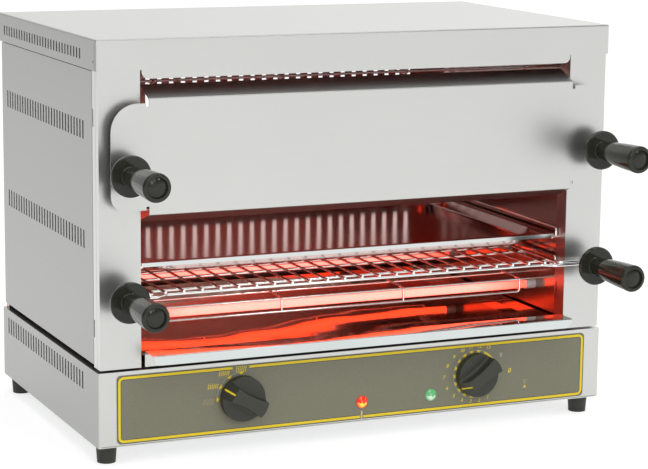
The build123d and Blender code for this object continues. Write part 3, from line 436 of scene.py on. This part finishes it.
nylon = matteMoulding("blackNylon", (0.02, 0.02, 0.02), (0.035, 0.035, 0.034), 0.45, 700, 0.0002)
quartzCold = matteMoulding("milkyQuartz", (0.60, 0.60, 0.57), (0.70, 0.70, 0.67), 0.22, 300, 0.0001)
quartzGlow = glowingQuartz("glowingQuartz", glowLook, 3.6)
quartzWarm = glowingQuartz("warmQuartz", glowLook, 2.3)
hotWire = glowingQuartz("hotWire", glowLook, 2.0)
redLens = lensPlastic("redLens", "red_lamp", (0.75, 0.03, 0.012), (1.0, 0.72, 0.05), 0.5)
greenLens = lensPlastic("greenLens", "green_lamp", (0.13, 0.47, 0.19), (0.78, 0.93, 0.74), 0.25)
yellowInk = printInk("yellowInk", (1.0, 0.74, 0.018))
darkInk = printInk("darkInk", (0.055, 0.062, 0.085))
paleInk = printInk("paleInk", (0.46, 0.45, 0.42))
sandInk = printInk("sandInk", (0.48, 0.40, 0.20))
print("materials made")


def dressNode(name, material):
    mesh = nodes[name].data
    mesh.materials.clear()
    mesh.materials.append(material)


for side in ("left", "right"):
    dressNode(side + "_front_post", postSteel)
    dressNode(side + "_side_panel", sideSteel)
    dressNode(side + "_inner_wall", cavitySteel)
    for row in ("front", "back"):
        dressNode("foot_" + row + "_" + side, footRubber)
    for carried in ("lower_rack", "tray", "upper_rack"):
        dressNode(side + "_" + carried + "_runner", wireChrome)
    for rack in ("lower", "upper"):
        dressNode(rack + "_" + side + "_handle", gripPhenolic[rack])
# the selector's second position heats the two lower levels
for level, quartz in (("lower", quartzGlow), ("middle", quartzWarm), ("upper", quartzCold)):
    dressNode(level + "_tube_guards", wireChrome)
    for row in ("front", "back"):
        dressNode(level + "_" + row + "_quartz_tube", quartz)
for rack in ("lower", "upper"):
    for piece in ("grid", "bow", "frame"):
        dressNode(rack + "_rack_" + piece, wireChrome)
for name, material in (
    ("base_housing", baseSteel), ("top_cover", capSteel), ("rear_panel", rearSteel),
    ("front_panel", panelSteel), ("upper_reflector", cavitySteel), ("base_plate", plateSteel),
    ("baking_tray", traySteel), ("drip_tray", dripSteel), ("control_overlay", overlayFilm),
    ("selector_knob", knobPlastic), ("timer_knob", knobPlastic), ("selector_shaft", shaftSteel),
    ("timer_shaft", shaftSteel), ("heating_coils", hotWire), ("tube_end_caps", ceramic),
    ("terminal_block", ceramic), ("red_lamp", redLens), ("green_lamp", greenLens),
    ("cable_gland", nylon), ("selector_switch", nylon), ("timer_movement", nylon),
):
    dressNode(name, material)
print("nodes dressed")


overlayLow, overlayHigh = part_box("control_overlay")
selectorCentre = middleOf("selector_knob")
timerCentre = middleOf("timer_knob")
redCentre = middleOf("red_lamp")
inkThickness = 0.00008
inkLift = 0.00002


def facing(x, z, lift=0.0):
    # a point on the overlay's face, lift in front of it
    return Vector((x, overlayLow[1] - inkLift - lift, z))


def linkPiece(name, mesh, material, body):
    piece = bpy.data.objects.new(name, mesh)
    bpy.context.scene.collection.objects.link(piece)
    mesh.materials.append(material)
    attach(piece, body)
    return piece


def closeForm(name, form, material, body, smooth=False):
    # a finished bmesh becomes a piece that rides on its body
    bmesh.ops.recalc_face_normals(form, faces=form.faces)
    mesh = bpy.data.meshes.new(name)
    form.to_mesh(mesh)
    form.free()
    for face in mesh.polygons:
        face.use_smooth = smooth
    return linkPiece(name, mesh, material, body)


def printedFaces(name, outlines, material, lift=0.0):
    # thin prints: each outline is a closed, convex list of (x, z) points
    form = bmesh.new()
    for outline in outlines:
        back = [form.verts.new(facing(x, z, lift)) for x, z in outline]
        front = [form.verts.new(facing(x, z, lift + inkThickness)) for x, z in outline]
        form.faces.new(back)
        form.faces.new(front[::-1])
        for at in range(len(outline)):
            form.faces.new((back[at - 1], front[at - 1], front[at], back[at]))
    return closeForm(name, form, material, "cabinet")


def polar(centre, radius, degrees):
    return (centre[0] + radius * cos(radians(degrees)), centre[2] + radius * sin(radians(degrees)))


def dot(x, z, radius, sides=8):
    return [polar((x, 0, z), radius, 360 * s / sides) for s in range(sides)]


def bar(left, low, right, high):
    return [(left, low), (right, low), (right, high), (left, high)]


def arcPiece(centre, inner, outer, start, end):
    return [
        polar(centre, outer, start), polar(centre, outer, end),
        polar(centre, inner, end), polar(centre, inner, start),
    ]


def arcRun(centre, inner, outer, start, end, pieces):
    # in short pieces, because a long bent band isn't one convex face
    angles = [start + (end - start) * at / pieces for at in range(pieces + 1)]
    return [arcPiece(centre, inner, outer, low, high) for low, high in zip(angles, angles[1:])]


def halfRound(centre, radius, degrees, size, steps=10):
    # flat side outward, round side towards the knob
    at = Vector(polar(centre, radius, degrees))
    out = Vector((cos(radians(degrees)), sin(radians(degrees))))
    along = Vector((-out.y, out.x))
    turns = [pi * step / steps for step in range(steps + 1)]
    return [tuple(at + along * size * cos(turn) - out * size * sin(turn)) for turn in turns]


borderLook = {
    "inset": 0.0015, "width": 0.0030, "corner": 0.0065, "edge": 0.0007,
    "iconGap": (-0.0106, 0.0097), "tickGap": 0.0020,
}


def borderCorner(x, z, radius, start, steps=8):
    return [polar((x, 0, z), radius, start + 90 * s / steps) for s in range(steps + 1)]


def borderRun(offset):
    # the frame's line at an offset inside the overlay's edge, in two runs between its gaps
    look = borderLook
    radius = look["corner"] + look["inset"] - offset
    left, right = overlayLow[0] + offset, overlayHigh[0] - offset
    low, high = overlayLow[2] + offset, overlayHigh[2] - offset
    iconLeft, iconRight = [selectorCentre.x + gap for gap in look["iconGap"]]
    return (
        [
            (iconLeft, high), *borderCorner(left + radius, high - radius, radius, 90),
            *borderCorner(left + radius, low + radius, radius, 180), (redCentre.x - look["tickGap"], low),
        ],
        [
            (redCentre.x + look["tickGap"], low), *borderCorner(right - radius, low + radius, radius, 270),
            *borderCorner(right - radius, high - radius, radius, 0), (iconRight, high),
        ],
    )


def borderFrame():
    look = borderLook
    for name, edge, material, lift in (
        ("borderDark", look["edge"], darkInk, 0.0),
        ("borderYellow", 0.0, yellowInk, inkThickness),
    ):
        outer, inner = borderRun(look["inset"] - edge), borderRun(look["inset"] + look["width"] + edge)
        strips = []
        for out, back in zip(outer, inner):
            for at in range(len(out) - 1):
                strips.append([out[at], out[at + 1], back[at + 1], back[at]])
        printedFaces(name, strips, material, lift)


borderFrame()

selectorMarks = {
    "radius": 0.0291, "markRadius": 0.0299, "angles": (180, 150, 120, 90),
    "size": 0.0026, "lineWidth": 0.0006,
}


def selectorPrint():
    look = selectorMarks
    rounds = [halfRound(selectorCentre, look["markRadius"], angle, look["size"]) for angle in look["angles"]]
    printedFaces("selectorMarks", rounds, yellowInk, inkThickness)
    arc = arcRun(selectorCentre, look["radius"], look["radius"] + look["lineWidth"], 90, 180, 24)
    printedFaces("selectorArc", arc, paleInk)


selectorPrint()

# one icon a position: four rows of dots, the heated rows yellow, the others pale
iconLook = {
    "columns": 6, "pitch": 0.00226, "rowPitch": 0.0018, "slant": 0.0003,
    "dot": 0.00072, "paleDot": 0.00058, "paleStagger": 0.0003,
}
iconPlaces = (
    (-0.0398, -0.0018, (0, 0, 0, 0)),
    (-0.0341, 0.0165, (0, 1, 1, 1)),
    (-0.0210, 0.0290, (1, 1, 1, 0)),
    (-0.0002, 0.0333, (1, 1, 1, 1)),
)


def heatIcons():
    look = iconLook
    lit, unlit = [], []
    for right, up, rowsLit in iconPlaces:
        for row, isLit in enumerate(rowsLit):
            rowsUp = 1.5 - row
            z = selectorCentre.z + up + rowsUp * look["rowPitch"]
            for column in range(look["columns"]):
                across = (column - (look["columns"] - 1) / 2) * look["pitch"]
                x = selectorCentre.x + right + across + rowsUp * look["slant"]
                if isLit:
                    lit.append(dot(x, z, look["dot"]))
                else:
                    stagger = look["paleStagger"] if column % 2 else -look["paleStagger"]
                    unlit.append(dot(x, z + stagger, look["paleDot"]))
    printedFaces("iconDots", lit, yellowInk, inkThickness)
    printedFaces("iconDotsPale", unlit, sandInk, inkThickness)


heatIcons()

timerMarks = {
    "radius": 0.0289, "first": -60.4, "step": -19.8, "size": 0.0026, "lineWidth": 0.0005,
    "numeral": 0.0041, "zero": 0.0054, "fontScale": 1.42, "slant": 0.25, "bold": 0.02, "zeroBold": 0.045,
}
numeralRadius = (
    0.0457, 0.0345, 0.0334, 0.0332, 0.0352, 0.0372, 0.0400,
    0.0422, 0.0398, 0.0373, 0.0352, 0.0336, 0.0336, 0.0352,
)
holdSweep = {"start": 58, "span": 24, "pieces": 12, "wide": 0.0024, "narrow": 0.0012}
holdHand = {
    "radius": 0.0400, "angle": 31, "palm": 0.0017, "palmDrop": 0.0012,
    "pitch": 0.0010, "half": 0.00035, "finger": 0.0026,
}


def timerAngle(number):
    return timerMarks["first"] + (number - 1) * timerMarks["step"] if number else 0.0


def numeral(number):
    look = timerMarks
    text = str(number)
    height = look["numeral"] if number else look["zero"]
    curve = bpy.data.curves.new("numeral" + text, "FONT")
    curve.body = text
    curve.size = height * look["fontScale"]
    curve.shear = look["slant"]
    curve.offset = height * (look["bold"] if number else look["zeroBold"])
    curve.align_x, curve.align_y = "CENTER", "CENTER"
    curve.extrude = inkThickness / 2
    curve.resolution_u = 3
    writer = bpy.data.objects.new("numeralWriter", curve)
    bpy.context.scene.collection.objects.link(writer)
    depsgraph = bpy.context.evaluated_depsgraph_get()
    mesh = bpy.data.meshes.new_from_object(writer.evaluated_get(depsgraph))
    bpy.data.objects.remove(writer)
    x, z = polar(timerCentre, numeralRadius[number], timerAngle(number))
    mesh.transform(Matrix.Translation(facing(x, z, inkThickness)) @ Matrix.Rotation(pi / 2, 4, "X"))
    mesh.name = "numeral" + text
    mesh.materials.clear()
    return linkPiece("numeral" + text, mesh, yellowInk, "cabinet")


def timerPrint():
    look = timerMarks
    numbers = range(len(numeralRadius))
    angles = [timerAngle(number) for number in numbers[1:]]
    rounds = [halfRound(timerCentre, look["radius"], angle, look["size"]) for angle in angles]
    printedFaces("timerMarks", rounds, yellowInk, inkThickness)
    ring = arcRun(timerCentre, look["radius"], look["radius"] + look["lineWidth"], 0, 360, 90)
    printedFaces("timerRing", ring, paleInk)
    # a tapered sweep from 13 to the hold mark
    sweep = []
    for piece in range(holdSweep["pieces"]):
        share, step = piece / holdSweep["pieces"], holdSweep["span"] / holdSweep["pieces"]
        start = holdSweep["start"] - step * piece
        width = holdSweep["wide"] + (holdSweep["narrow"] - holdSweep["wide"]) * share
        sweep.append(arcPiece(timerCentre, look["radius"] - width, look["radius"], start, start - step))
    printedFaces("holdSweep", sweep, yellowInk, inkThickness)
    for number in numbers:
        numeral(number)
    # the hold mark: an open palm with four fingers
    look = holdHand
    x, z = polar(timerCentre, look["radius"], look["angle"])
    hand = [dot(x, z - look["palmDrop"], look["palm"], 10)]
    for finger in range(4):
        middle = x + (finger - 1.5) * look["pitch"]
        hand.append(bar(middle - look["half"], z, middle + look["half"], z + look["finger"]))
    printedFaces("holdMark", hand, paleInk, inkThickness)


timerPrint()

thermometer = {
    "foot": 0.0005, "height": 0.0118, "stem": 0.0012, "rim": 0.0017, "bulb": 0.0010,
    "fill": 0.00055, "fillFoot": 0.0006, "fillTop": 0.0032,
}
hourglass = {
    "right": 0.0675, "down": 0.0180, "half": 0.0024, "top": (0.0042, 0.0048), "foot": (-0.0052, -0.0046),
}
# seen from the glass's waist, right half: the slanting wall and the sand above and below
glassWall = ((0.0022, 0.0040), (0.0017, 0.0040), (0.0002, 0.0002), (0.0006, 0.0002))
sandAbove = {"half": 0.0011, "tip": 0.0, "flat": 0.0016}
sandBelow = {"half": 0.0020, "tip": -0.0012, "flat": -0.0042}


def thermometerPrint():
    # under the red lamp: its bulb above, its stem through the frame's gap
    look = thermometer
    x, low = redCentre.x, overlayLow[2] + look["foot"]
    bulb = low + look["height"]
    rim = [bar(x - look["stem"], low, x + look["stem"], bulb), dot(x, bulb, look["rim"], 14)]
    printedFaces("thermometerRim", rim, paleInk)
    printedFaces("thermometerBulb", [dot(x, bulb, look["bulb"], 12)], overlayFilm, inkThickness)
    fill = bar(x - look["fill"], low + look["fillFoot"], x + look["fill"], bulb - look["fillTop"])
    printedFaces("thermometerFill", [fill], yellowInk, inkThickness)


def hourglassPrint():
    look = hourglass
    x, z = timerCentre.x + look["right"], timerCentre.z - look["down"]
    sand = [
        [(x, z + part["tip"]), (x - part["half"], z + part["flat"]), (x + part["half"], z + part["flat"])]
        for part in (sandAbove, sandBelow)
    ]
    printedFaces("glassSand", sand, yellowInk, inkThickness)
    left, right = x - look["half"], x + look["half"]
    outline = [bar(left, z + low, right, z + high) for low, high in (look["top"], look["foot"])]
    outline += [[(x + side * across, z + up) for across, up in glassWall] for side in (-1, 1)]
    printedFaces("glassOutline", outline, paleInk, inkThickness)


thermometerPrint()
hourglassPrint()
print("overlay printed")


screwLook = {
    "radius": 0.0032, "rise": 0.0016, "sides": 20, "recess": 0.16, "notch": 0.45, "land": 0.9,
    "dome": ((1.0, 0.0), (1.0, 0.35), (0.86, 0.72), (0.55, 0.96), (0.30, 1.0)),
}
rearScrews = {
    "side": 0.309, "heights": (0.135, 0.245, 0.355, 0.430), "low": 0.124, "lowPlaces": (-0.2, 0.0, 0.2),
}
baseScrews = {"side": 0.305, "heights": (0.034, 0.094)}
plateScrews = {"places": (-0.22, 0.0, 0.22), "inset": 0.008}
wallScrew = {"back": 0.0556, "height": 0.1697}


def screwHeads(name, places, outward, body):
    # pan heads with a cross; places are the points where they sit, outward their axis
    look = screwLook
    sides = look["sides"]
    axis = Vector(outward)
    first = axis.orthogonal().normalized()
    second = axis.cross(first)
    spokes = [first * cos(2 * pi * s / sides) + second * sin(2 * pi * s / sides) for s in range(sides)]
    # the recess: the inner ring sinks in four notches
    shape = [(share, [rise] * sides) for share, rise in look["dome"]]
    shape.append((look["recess"], [look["notch"] if s % 5 < 2 else look["land"] for s in range(sides)]))
    form = bmesh.new()
    for place in places:
        rings = []
        for share, rises in shape:
            reach, seat = share * look["radius"], Vector(place)
            lifts = [axis * (rise * look["rise"]) for rise in rises]
            rings.append([form.verts.new(seat + lift + spoke * reach) for lift, spoke in zip(lifts, spokes)])
        for below, above in zip(rings, rings[1:]):
            for at in range(sides):
                form.faces.new((below[at - 1], below[at], above[at], above[at - 1]))
        form.faces.new(rings[0])
        form.faces.new(rings[-1][::-1])
    return closeForm(name, form, screwSteel, body, smooth=True)


rearSpots = [(side * rearScrews["side"], rearHigh[1], z) for side in (-1, 1) for z in rearScrews["heights"]]
rearSpots += [(x, rearHigh[1], rearScrews["low"]) for x in rearScrews["lowPlaces"]]
screwHeads("rearScrews", rearSpots, (0, 1, 0), "cabinet")
baseSpots = [(side * baseScrews["side"], rearFace, z) for side in (-1, 1) for z in baseScrews["heights"]]
screwHeads("baseRearScrews", baseSpots, (0, 1, 0), "cabinet")
plateLow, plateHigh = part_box("base_plate")
plateRows = (plateLow[1] + plateScrews["inset"], plateHigh[1] - plateScrews["inset"])
plateSpots = [(x, y, plateLow[2]) for x in plateScrews["places"] for y in plateRows]
screwHeads("plateScrews", plateSpots, (0, 0, -1), "cabinet")
wallSpot = (wallLow[0], wallScrew["back"], wallScrew["height"])
screwHeads("wallScrew", [wallSpot], (-1, 0, 0), "cabinet")
print("screws in place")

pointerLook = {
    "reach": 0.0172, "rim": 0.0258, "deep": 0.0052, "top": 0.0206,
    "width": 0.0021, "end": 0.0004, "sunk": -0.0004, "lift": 0.0001,
}


def pointerLine(name, body, degrees):
    # the groove's slope runs from the bar's end down to the rim
    look = pointerLook
    knob = body + "_knob"
    centre = Vector((middleOf(knob).x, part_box(knob)[1][1], middleOf(knob).z))
    out = Vector((cos(radians(degrees)), 0, sin(radians(degrees))))
    across = Vector((-out.z, 0, out.x))
    face = Vector((0, -1, 0))
    run, fall = look["rim"] - look["reach"], look["top"] - look["deep"]
    slope = (out * run - face * fall).normalized()
    normal = (face * run + out * fall).normalized()
    start = centre + out * look["reach"] + face * look["top"]
    near, far = look["end"], (run ** 2 + fall ** 2) ** 0.5 - look["end"]
    form = bmesh.new()
    corners = []
    for depth in (look["sunk"], look["lift"]):
        for along, side in ((near, -1), (near, 1), (far, 1), (far, -1)):
            point = start + slope * along + across * (side * look["width"] / 2) + normal * depth
            corners.append(form.verts.new(point))
    form.faces.new(corners[:4])
    form.faces.new(corners[4:][::-1])
    for at in range(4):
        before = (at - 1) % 4
        form.faces.new((corners[before], corners[before + 4], corners[at + 4], corners[at]))
    return closeForm(name, form, yellowInk, body)


pointerLine("selectorPointerLine", "selector", 150)
pointerLine("timerPointerLine", "timer", 216)
print("pointers laid")


studio = {
    "floorColour": 0.55, "floorLift": 0.62, "worldLight": 0.75, "glossMiddle": 0.88, "glossLean": 0.55,
    "band": (0.10, 0.28, 0.72, 0.95), "bandLevel": 0.22, "backFrom": (-0.3, 0.2),
}


def studioFloor():
    bpy.ops.mesh.primitive_grid_add(x_subdivisions=2, y_subdivisions=2, size=14)
    floor = bpy.context.object
    floor.name = "studioFloor"
    material, tree, shader = newMaterial("paleFloor")
    shader.inputs["Base Color"].default_value = grey(studio["floorColour"])
    shader.inputs["Roughness"].default_value = 0.9
    shader.inputs["Specular IOR Level"].default_value = 0.1
    # a lift for the eye and mirrors alone, so that the floor reads white and still holds the shadow
    path = tree.nodes.new("ShaderNodeLightPath").outputs
    sharp = mathNode(tree, "MAXIMUM", path["Is Camera Ray"], path["Is Glossy Ray"])
    through = mathNode(tree, "MAXIMUM", sharp, path["Is Transmission Ray"])
    lift = tree.nodes.new("ShaderNodeEmission")
    feed(tree, lift.inputs["Strength"], multiply(tree, through, studio["floorLift"]))
    both = tree.nodes.new("ShaderNodeAddShader")
    tree.links.new(shader.outputs["BSDF"], both.inputs[0])
    tree.links.new(lift.outputs["Emission"], both.inputs[1])
    tree.links.new(both.outputs["Shader"], tree.nodes["Material Output"].inputs["Surface"])
    floor.data.materials.append(material)


def mixShader(tree, factor, first, second):
    mix = tree.nodes.new("ShaderNodeMixShader")
    for field, value in zip(mix.inputs, (factor, first, second)):
        tree.links.new(value, field)
    return mix.outputs["Shader"]


def studioWorld():
    world = bpy.data.worlds.new("studioWorld")
    world.use_nodes = True
    bpy.context.scene.world = world
    tree = world.node_tree
    light = tree.nodes["Background"]
    light.inputs["Strength"].default_value = studio["worldLight"]
    light.inputs["Color"].default_value = grey(1)
    # metal mirrors a room that is brighter on its right-hand side
    mirrored = tree.nodes.new("ShaderNodeBackground")
    towards = splitAxes(tree, tree.nodes.new("ShaderNodeTexCoord").outputs["Generated"])
    lean = mathNode(tree, "MULTIPLY_ADD", towards["X"], studio["glossLean"], studio["glossMiddle"])
    feed(tree, mirrored.inputs["Strength"], lean)
    # on the viewer's side the room is dark between the floor's horizon and the lamps
    band = tree.nodes.new("ShaderNodeValToRGB")
    low, bandStart, bandEnd, high = studio["band"]
    first, last = band.color_ramp.elements
    first.position, first.color = low, grey(1)
    last.position, last.color = high, grey(1)
    for position in (bandStart, bandEnd):
        band.color_ramp.elements.new(position).color = grey(studio["bandLevel"])
    tree.links.new(towards["Z"], band.inputs["Fac"])
    behind = mapRange(tree, towards["Y"], fromRange=studio["backFrom"])
    feed(tree, mirrored.inputs["Color"], blendColour(tree, behind, band.outputs["Color"], (1, 1, 1)))
    seen = tree.nodes.new("ShaderNodeBackground")
    seen.inputs["Color"].default_value = grey(1)
    seen.inputs["Strength"].default_value = 1.0
    path = tree.nodes.new("ShaderNodeLightPath").outputs
    direct = mathNode(tree, "MAXIMUM", path["Is Camera Ray"], path["Is Transmission Ray"])
    plain, lit, white = [node.outputs["Background"] for node in (light, mirrored, seen)]
    surround = mixShader(tree, direct, mixShader(tree, path["Is Glossy Ray"], plain, lit), white)
    tree.links.new(surround, tree.nodes["World Output"].inputs["Surface"])


def softbox(name, place, target, size, power):
    lamp = bpy.data.lights.new(name, "AREA")
    lamp.shape = "RECTANGLE"
    lamp.size, lamp.size_y = size
    lamp.energy = power
    holder = bpy.data.objects.new(name, lamp)
    bpy.context.scene.collection.objects.link(holder)
    holder.location = place
    holder.rotation_euler = (Vector(target) - Vector(place)).to_track_quat("-Z", "Y").to_euler()
    holder.visible_camera = False


studioFloor()
studioWorld()
softbox("overheadSoft", (0.1, -0.9, 2.7), (0, -0.3, 0.2), (2.6, 2.2), 19)
softbox("frontSoft", (-0.5, -3.0, 1.9), (0.1, -0.6, 0.2), (2.2, 1.6), 19)
softbox("leftGlint", (-0.48, -3.15, 1.04), (0, -0.2, 0.25), (0.36, 0.36), 3)
softbox("rightGlint", (1.1, -2.6, 1.62), (0, -0.2, 0.25), (0.28, 0.28), 2.2)

cameraPlace = {
    "location": (-1.0588, -2.4056, 0.6997), "turn": (79.648, -0.593, -23.891),
    "lens": 122.93, "sensor": 36,
}


def studioCamera():
    camera = bpy.data.objects.new("studioCamera", bpy.data.cameras.new("studioCamera"))
    bpy.context.scene.collection.objects.link(camera)
    camera.location = cameraPlace["location"]
    camera.rotation_euler = [radians(angle) for angle in cameraPlace["turn"]]
    camera.data.lens = cameraPlace["lens"]
    camera.data.sensor_width = cameraPlace["sensor"]
    bpy.context.scene.camera = camera


studioCamera()
bpy.context.scene.view_settings.view_transform = "Standard"
print("stage set")
